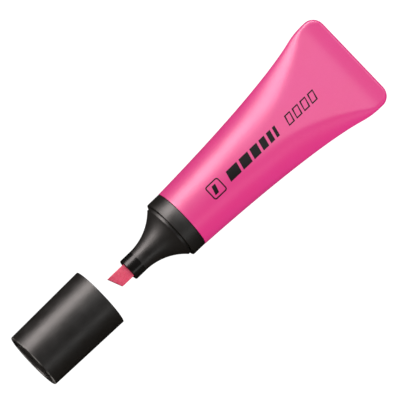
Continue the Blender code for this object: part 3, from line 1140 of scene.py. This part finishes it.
@dataclass
class FrontSection:
    """The black front of the pen: the nose that grips the nib, and the collar behind it."""

    axis: Axis
    collar_radius: float = 11.0
    collar_length: float = 5.2
    nose_length: float = 19.2
    tip_radius: float = 3.97
    barrel_length: float = 4.5
    polished_length: float = 4.6
    tip_rounding: float = 0.45
    flare_radius: float = 19.0
    flare_steps: int = 32
    land_radius: float = 9.8
    spigot_radius: float = 9.3
    spigot_wall: float = 0.9
    spigot_end: float = 8.0
    hollow: Controls = ((-5.8, 8.4), (-8.0, 5.2), (-15.8, 2.9), (-15.8, 0.0))
    clearance: float = 0.15
    nib_width: float = 5.1
    nib_thickness: float = 3.4
    nib_clearance: float = 0.12
    channel_end: float = -14.0
    channel_rounding: float = 0.35
    air_way_width: float = 1.2
    air_way_depth: float = 0.5
    air_way_end: float = -17.5

    @property
    def tip(self) -> float:
        """The station of the nose's front face."""
        return -(self.collar_length + self.nose_length)

    def build(self, satin: Material, polished: Material) -> None:
        """Builds the collar and the nose.

        Args:
            satin: the finely textured black.
            polished: the smooth black of the nose's tip.
        """
        collar = turned("collar", self.axis, self._collar_outline())
        hand_over(collar, Body.PEN, Slot.SATIN_BLACK, satin, "collar_ring")
        nose = turned("nose", self.axis, self._nose_outline(), closed=False)
        cut_away(nose, [self._channel(), self._air_way()])
        settle(nose)
        self._dress_nose(nose, satin, polished)
        hand_over(nose, Body.PEN, Slot.SATIN_BLACK, satin, "nose_cone")

    def _collar_outline(self) -> Outline:
        """Gives the collar's section, with soft outer edges and a fine groove in front."""
        front, back = -self.collar_length, -self.clearance
        bore = self.spigot_radius + self.clearance
        outer = self.collar_radius
        section = [(front, bore, 0), (front, outer, 0.32), (back, outer, 0.12), (back, bore, 0)]
        return rounded(section)

    def _nose_outline(self) -> Outline:
        """Gives the nose's section: tip, concave flare, land, spigot and hollow back."""
        start = self.tip + self.barrel_length
        rise = self.land_radius - self.tip_radius
        sweep = math.acos(1 - rise / self.flare_radius)
        flare = [
            (
                start + self.flare_radius * math.sin(sweep * step / self.flare_steps),
                self.tip_radius
                + self.flare_radius * (1 - math.cos(sweep * step / self.flare_steps)),
            )
            for step in range(self.flare_steps + 1)
        ]
        tip_round = [
            (
                self.tip + self.tip_rounding * (1 - math.sin(math.radians(angle))),
                self.tip_radius - self.tip_rounding * (1 - math.cos(math.radians(angle))),
            )
            for angle in (90, 67, 45, 22, 0)
        ]
        land_front, land_back = flare.pop()[0], -self.collar_length - self.clearance
        back = [
            (land_front - 0.04, self.land_radius - 0.03),
            (land_front + 0.10, self.land_radius),
            (land_back, self.land_radius),
            (land_back, self.spigot_radius),
            (self.spigot_end, self.spigot_radius),
            (self.spigot_end, self.spigot_radius - self.spigot_wall),
            *self.hollow,
        ]
        return [(self.tip, 0.0)] + tip_round + flare + back

    def _channel(self) -> Object:
        """Makes the cutter for the nib's channel, a little larger than the nib."""
        extra = 2 * self.nib_clearance
        width, height = self.nib_width + extra, self.nib_thickness + extra
        channel = bar("channel", self.axis, (self.tip - 1, self.channel_end), width, height)
        apply_modifier(channel, "BEVEL", width=to_metres(self.channel_rounding), segments=3)
        return channel

    def _air_way(self) -> Object:
        """Makes the cutter for the air grooves above and below the nib."""
        height = self.nib_thickness + 2 * self.air_way_depth
        ends = (self.tip - 1, self.air_way_end)
        return bar("air_way", self.axis, ends, self.air_way_width, height)

    def _dress_nose(self, nose: Object, satin: Material, polished: Material) -> None:
        """Gives the tip's cylinder the polished black, and the rest the satin one."""
        nose.data.materials.clear()
        nose.data.materials.append(satin)
        nose.data.materials.append(polished)
        limit = self.axis.x(self.tip + self.polished_length)
        for face in nose.data.polygons:
            face.material_index = 1 if face.center.x < limit else 0


@dataclass
class ChiselNib:
    """The slant-cut fibre nib on its round stem."""

    axis: Axis
    width: float = 5.1
    thickness: float = 3.4
    edge_thickness: float = 1.6
    slant: float = 2.1
    front: float = -31.4
    taper_start: float = -26.6
    taper_slant: float = 0.84
    back: float = -17.15
    edge_rounding: float = 0.22
    stem: Controls = ((-18.15, 0.0), (-18.15, 1.6), (1.8, 1.6), (3.0, 0.5), (3.0, 0.0))

    def build(self, finish: Material) -> None:
        """Shapes the nib from a block and adds its stem.

        Args:
            finish: the fibre.
        """
        height = self.axis.height_m
        front, taper = self.axis.x(self.front), self.axis.x(self.taper_start)
        nib = bar("chisel_nib", self.axis, (self.front, self.back), self.width, self.thickness)
        edit_all(nib)
        bpy.ops.mesh.bisect(plane_co=(taper, 0, height), plane_no=(1, 0, 0))
        select_where(nib, lambda place: abs(place.x - front) < NEAR_M)
        bpy.ops.transform.resize(
            value=(1, 1, self.edge_thickness / self.thickness), center_override=(front, 0, height)
        )
        for end, slant in ((front, self.slant), (taper, self.taper_slant)):
            select_where(nib, lambda place: abs(place.x - end) < NEAR_M and place.y < 0)
            bpy.ops.transform.translate(value=(to_metres(slant), 0, 0))
        bpy.ops.object.mode_set(mode="OBJECT")
        apply_modifier(
            nib,
            "BEVEL",
            width=to_metres(self.edge_rounding),
            segments=3,
            limit_method="ANGLE",
            angle_limit=math.radians(20),
        )
        stem = turned("stem", self.axis, list(self.stem), closed=False, around=32)
        nib = join([nib, stem])
        settle(nib, angle=35.0)
        hand_over(nib, Body.PEN, Slot.NIB_FIBRE, finish, "nib")


# ---------------------------------------------------------------------------------------
# The cap
# ---------------------------------------------------------------------------------------


@dataclass
class Cap:
    """The pull-off cap: sleeve, inner seal cup and recessed end disc."""

    axis: Axis
    length: float = 30.4
    mouth_radius: float = 11.0
    end_radius: float = 10.45
    wall: float = 1.05
    flange_radius: float = 9.1
    flange_depth: float = 27.5
    flange_thickness: float = 1.0
    ledge: float = 0.5
    rib_count: int = 6
    rib_height: float = 0.5
    rib_half_width: float = 0.45
    rib_start: float = 4.0
    seal_bore: float = 4.1
    seal_wall: float = 0.95
    seal_mouth: float = 14.2
    seal_floor: float = 27.0
    recess: float = 0.5
    clearance: float = 0.15
    slot_count: int = 4

    def radius(self, depth: float) -> float:
        """Gives the sleeve's outer radius at a depth."""
        return self.mouth_radius + (self.end_radius - self.mouth_radius) * depth / self.length

    def build(self, satin: Material, insert: Material, disc: Material) -> None:
        """Builds the cap's three pieces.

        Args:
            satin: the sleeve's textured black.
            insert: the seal cup's smooth black.
            disc: the end disc's coarser black.
        """
        sleeve = join([turned("cap_sleeve", self.axis, self._sleeve_outline())] + self._ribs())
        settle(sleeve)
        hand_over(sleeve, Body.CAP, Slot.SATIN_BLACK, satin, "cap_shell")
        cup = turned("cap_cup", self.axis, self._cup_outline(), closed=False)
        back = self.flange_depth + self.flange_thickness
        front = self.flange_depth - 1
        cut_away(cup, arc_slots(self.axis, front, back + 1, 6.0, 7.8, self.slot_count, 0.55))
        settle(cup)
        hand_over(cup, Body.CAP, Slot.CAP_INSERT, insert, "cap_seal_cup")
        end = turned("cap_disc", self.axis, self._disc_outline(), closed=False)
        cut_away(end, arc_slots(self.axis, back, self.length + 1, 6.3, 7.5, self.slot_count, 0.5))
        settle(end)
        hand_over(end, Body.CAP, Slot.SATIN_BLACK, disc, "cap_end_disc")

    def _sleeve_outline(self) -> Outline:
        """Gives the sleeve's section, from its mouth round its rim to its ledge and bore."""
        ledge_front = self.flange_depth + self.flange_thickness + self.clearance
        ledge_back = ledge_front + self.ledge
        rim_inner = self.flange_radius + self.clearance
        return rounded(
            [
                (0.0, self.radius(0) - self.wall, 0.2),
                (0.0, self.mouth_radius, 0.12),
                (self.length, self.end_radius, 0.45),
                (self.length, rim_inner, 0.15),
                (ledge_back, rim_inner, 0),
                (ledge_back, self.flange_radius - 0.7, 0),
                (ledge_front, self.flange_radius - 0.7, 0),
                (ledge_front, self.radius(ledge_front) - self.wall, 0),
            ]
        )

    def _ribs(self) -> list[Object]:
        """Makes the grip ribs inside the sleeve, one block turned to each place."""
        bore_front = self.radius(self.rib_start) - self.wall
        bore_back = self.radius(self.flange_depth) - self.wall
        low = self.axis.point(self.flange_depth - self.clearance, bore_back - self.rib_height)
        high = self.axis.point(self.rib_start, bore_front + self.wall / 3)
        half = Vector((0, to_metres(self.rib_half_width), 0))
        ribs = []
        for index in range(self.rib_count):
            rib = block(f"rib_{index}", low - half, high + half)
            apply_modifier(rib, "BEVEL", width=to_metres(0.15), segments=2)
            rib.matrix_world = self.axis.turn(math.tau * index / self.rib_count)
            ribs.append(settle(rib))
        return ribs

    def _cup_outline(self) -> Outline:
        """Gives the seal cup's section: floor, bore with a lead-in, outside and flange."""
        outer = self.seal_bore + self.seal_wall
        back = self.flange_depth + self.flange_thickness
        lip = rounded(
            [
                (self.seal_floor, self.seal_bore, 0),
                (self.seal_mouth, self.seal_bore, 0.3),
                (self.seal_mouth, outer, 0.3),
                (self.flange_depth, outer, 0),
            ]
        )
        return (
            [(self.seal_floor, 0.0)]
            + lip
            + [(self.flange_depth, self.flange_radius), (back, self.flange_radius), (back, 0.0)]
        )

    def _disc_outline(self) -> Outline:
        """Gives the end disc's section: flat face, raised ring and dished middle."""
        front = self.flange_depth + self.flange_thickness + self.ledge + 0.3
        face = self.length - self.recess
        ring, dish = face + 0.25, face - 0.3
        return [
            (front, 0.0),
            (front, self.flange_radius),
            (face - 0.12, self.flange_radius),
            (face, self.flange_radius - 0.12),
            (face, 5.62),
            (ring - 0.05, 5.42),
            (ring, 5.34),
            (ring, 4.96),
            (ring - 0.05, 4.88),
            (face, 4.68),
            (face, 4.02),
            (dish, 3.6),
            (dish, 0.0),
        ]


# ---------------------------------------------------------------------------------------
# Studio
# ---------------------------------------------------------------------------------------


@dataclass
class SoftBox:
    """One soft light: where it stands seen from the pen, its size and its strength."""

    name: str
    direction: Vector
    size_m: tuple[float, float]
    radiance: float
    colour: str = "FFFFFF"
    distance_m: float = 1.0

    def build(self, target: Vector) -> None:
        """Adds the light, aimed at the target.

        Args:
            target: the point it faces.
        """
        away = self.direction.normalized()
        data = bpy.data.lights.new(self.name, "AREA")
        data.shape = "RECTANGLE"
        data.size, data.size_y = self.size_m
        data.energy = self.radiance * math.pi * data.size * data.size_y
        data.color = linear(self.colour)[:3]
        light = bpy.data.objects.new(self.name, data)
        bpy.context.scene.collection.objects.link(light)
        light.location = target + away * self.distance_m
        light.rotation_euler = away.to_track_quat("Z", "Y").to_euler()
        light.visible_camera = False
        light.visible_diffuse = False


@dataclass
class Studio:
    """Plain pale floor, even light, soft boxes and the camera."""

    target: Vector
    tilt: float = 7.4
    roll: float = 43.73
    distance_m: float = 2.52
    view_width_m: float = 0.1304
    ambient: float = 0.95
    floor_glow: float = 0.97
    floor_size_m: float = 6.0
    floor_drop_m: float = 0.0004
    speck_scale: float = 900.0
    main_angle: float = 57.0
    weak_angle: float = 50.0
    tail_angle: float = 34.0

    def build(self) -> None:
        """Builds the floor, the light and the camera."""
        self._world()
        self._floor()
        self._boxes()
        self._camera()
        bpy.context.scene.view_settings.view_transform = "Standard"

    def _view(self) -> tuple[Vector, Vector, Vector]:
        """Gives the camera's right, up and backward directions."""
        tilt, roll = math.radians(self.tilt), math.radians(self.roll)
        back = Vector((-math.sin(tilt), 0.0, math.cos(tilt)))
        along = Vector((math.cos(tilt), 0.0, math.sin(tilt)))
        across = Vector((0.0, 1.0, 0.0))
        right = along * math.cos(roll) - across * math.sin(roll)
        up = along * math.sin(roll) + across * math.cos(roll)
        return right, up, back

    def _camera(self) -> None:
        """Adds the long-lens camera."""
        data = bpy.data.cameras.new("camera")
        data.sensor_width = 36.0
        data.lens = data.sensor_width * self.distance_m / self.view_width_m
        data.clip_end = 50.0
        camera = bpy.data.objects.new("camera", data)
        bpy.context.scene.collection.objects.link(camera)
        right, up, back = self._view()
        frame = Matrix((right, up, back)).transposed().to_4x4()
        frame.translation = self.target + back * self.distance_m
        camera.matrix_world = frame
        bpy.context.scene.camera = camera

    def _world(self) -> None:
        """Sets even light all round, which glossy surfaces don't mirror."""
        world = bpy.data.worlds.new("studio")
        world.use_nodes = True
        background = world.node_tree.nodes["Background"]
        background.inputs["Color"].default_value = (1.0, 1.0, 1.0, 1.0)
        background.inputs["Strength"].default_value = self.ambient
        bpy.context.scene.world = world
        world.cycles_visibility.glossy = False

    def _floor(self) -> None:
        """Adds the pale floor just under the pen: an opal sheet, lit from below."""
        deselect_all()
        place = (0, 0, -self.floor_drop_m)
        bpy.ops.mesh.primitive_plane_add(size=self.floor_size_m, location=place)
        floor = bpy.context.object
        floor.name = "floor"
        material, tree, shader, place = new_tree("opal_acrylic_sheet")
        speck = add_node(
            tree,
            "ShaderNodeTexNoise",
            "Fac",
            {"Vector": place, "Scale": self.speck_scale, "Detail": 3.0},
        )
        grey = add_node(
            tree,
            "ShaderNodeMix",
            MIXED_COLOUR,
            {SHARE: speck, FIRST_COLOUR: linear("7A7A7A"), SECOND_COLOUR: linear("808080")},
            data_type="RGBA",
        )
        feed(
            shader,
            {
                "Base Color": grey,
                "Roughness": 0.9,
                "Specular IOR Level": 0.0,
                "Emission Color": (1.0, 1.0, 1.0, 1.0),
                "Emission Strength": self.floor_glow,
            },
        )
        floor.data.materials.append(material)
        floor.visible_glossy = False

    def _boxes(self) -> None:
        """Adds the soft boxes: a main one at +Y, a weak one opposite, one over the tail."""
        _, _, back = self._view()
        across = Vector((0.0, 1.0, 0.0))
        main, weak = math.radians(self.main_angle), math.radians(self.weak_angle)
        tail = math.radians(self.tail_angle)
        main_way = back * math.cos(main) + across * math.sin(main)
        weak_way = back * math.cos(weak) - across * math.sin(weak)
        tail_way = Vector((math.sin(tail), 0.15, math.cos(tail)))
        boxes = (
            SoftBox("main_box", main_way, (2.2, 0.62), 11.2, colour="FFF6F4"),
            SoftBox("weak_box", weak_way, (2.2, 0.25), 2.0),
            SoftBox("tail_box", tail_way, (0.9, 0.5), 3.5),
        )
        for box in boxes:
            box.build(self.target)


# ---------------------------------------------------------------------------------------
# Building
# ---------------------------------------------------------------------------------------


def dress_hidden(nodes: dict[str, Object]) -> None:
    """Gives the pieces inside the tube their own finishes.

    Args:
        nodes: the frame's CAD nodes.
    """
    # Uncoloured polypropylene, injection moulded: milky, with a soft gloss.
    milky = MouldedPlastic(
        "milky_polypropylene", "DAD9D4", "CFCEC8", 0.32, subsurface=0.2
    ).material()
    # Polyester fibre soaked with ink: deep pink, matt, streaked along its length.
    fibre = BondedFibre(
        "soaked_polyester_fibre", "E8307F", "C91B63", "F58BB4", fibre=0.3
    ).material()
    # Wound polypropylene film: clear, thin, with slight ripples.
    film = ClearFilm("wound_film", "E4E2E6", "E9E6EA").material()
    finishes = {
        "inner_barrel": milky,
        "breather_tube": milky,
        "reservoir_core": fibre,
        "reservoir_film": film,
    }
    for name, finish in finishes.items():
        nodes[name].data.materials.clear()
        nodes[name].data.materials.append(finish)
        LOG.info("%s keeps its CAD shape", name)


def main() -> None:
    """Builds every sub-assembly in order."""
    logging.basicConfig(level=logging.INFO, format="%(name)s: %(message)s")
    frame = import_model()
    collar_low, collar_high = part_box("collar_ring")
    height_m = (collar_low.z + collar_high.z) / 2
    pen_axis = Axis(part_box("tube_shell")[0].x, height_m)
    cap_axis = Axis(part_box("cap_shell")[1].x, height_m, direction=-1)

    # Fluorescent low-density polyethylene, blow moulded: soft satin skin, a faint waviness.
    pink = MouldedPlastic(
        "fluorescent_soft_polyethylene",
        "EC0082",
        "EC0486",
        0.6,
        ior=1.3,
        coat=0.9,
        coat_roughness=0.4,
        grain=0.35,
        grain_depth=0.003,
        wave_depth=0.03,
        scuffs=0.15,
        seam_height_m=height_m,
        pressed_from_m=pen_axis.x(71.5),
    ).material()
    # Black polypropylene from a spark-eroded mould: even satin, with a pale band at the cap's
    # closed rim that is partly rubbed wear and partly a painted highlight.
    satin = MouldedPlastic(
        "satin_black_polypropylene",
        "1A1612",
        "1E1A16",
        0.42,
        ior=1.46,
        wear_and_highlight_at_m=(cap_axis.x(30.25),),
    ).material()
    # The same black where the mould is polished so the cap can seal on it: glossy.
    polished = MouldedPlastic(
        "polished_black_polypropylene", "12100E", "161412", 0.25, roughness_spread=0.03, ior=1.35
    ).material()
    # Smooth black insert inside the cap.
    insert = MouldedPlastic("smooth_black_insert", "191715", "1F1D1B", 0.3).material()
    # The end disc's mould is left coarser, which breaks its shine into grains.
    coarse = MouldedPlastic(
        "coarse_black_polypropylene", "1A1612", "24201C", 0.42, grain=0.3, grain_depth=0.03
    ).material()
    # Felted nylon soaked with pink ink: matt salmon pink, streaked along the fibres.
    nib_fibre = BondedFibre("soaked_nib_fibre", "FF4672", "F2305F", "FF869C").material()
    # Black pad-printing ink.
    ink = PrintedInk("black_pad_print", "120A10", "2C1220").material()

    tube = SoftTube(pen_axis).build(pink)
    TubePrint(pen_axis).build(tube, ink)
    FrontSection(pen_axis).build(satin, polished)
    ChiselNib(pen_axis).build(nib_fibre)
    Cap(cap_axis).build(satin, insert, coarse)
    dress_hidden(frame["nodes"])
    Studio(Vector((pen_axis.x(8.65), 0.0004, height_m))).build()

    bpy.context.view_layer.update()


if __name__ == "__main__":
    main()
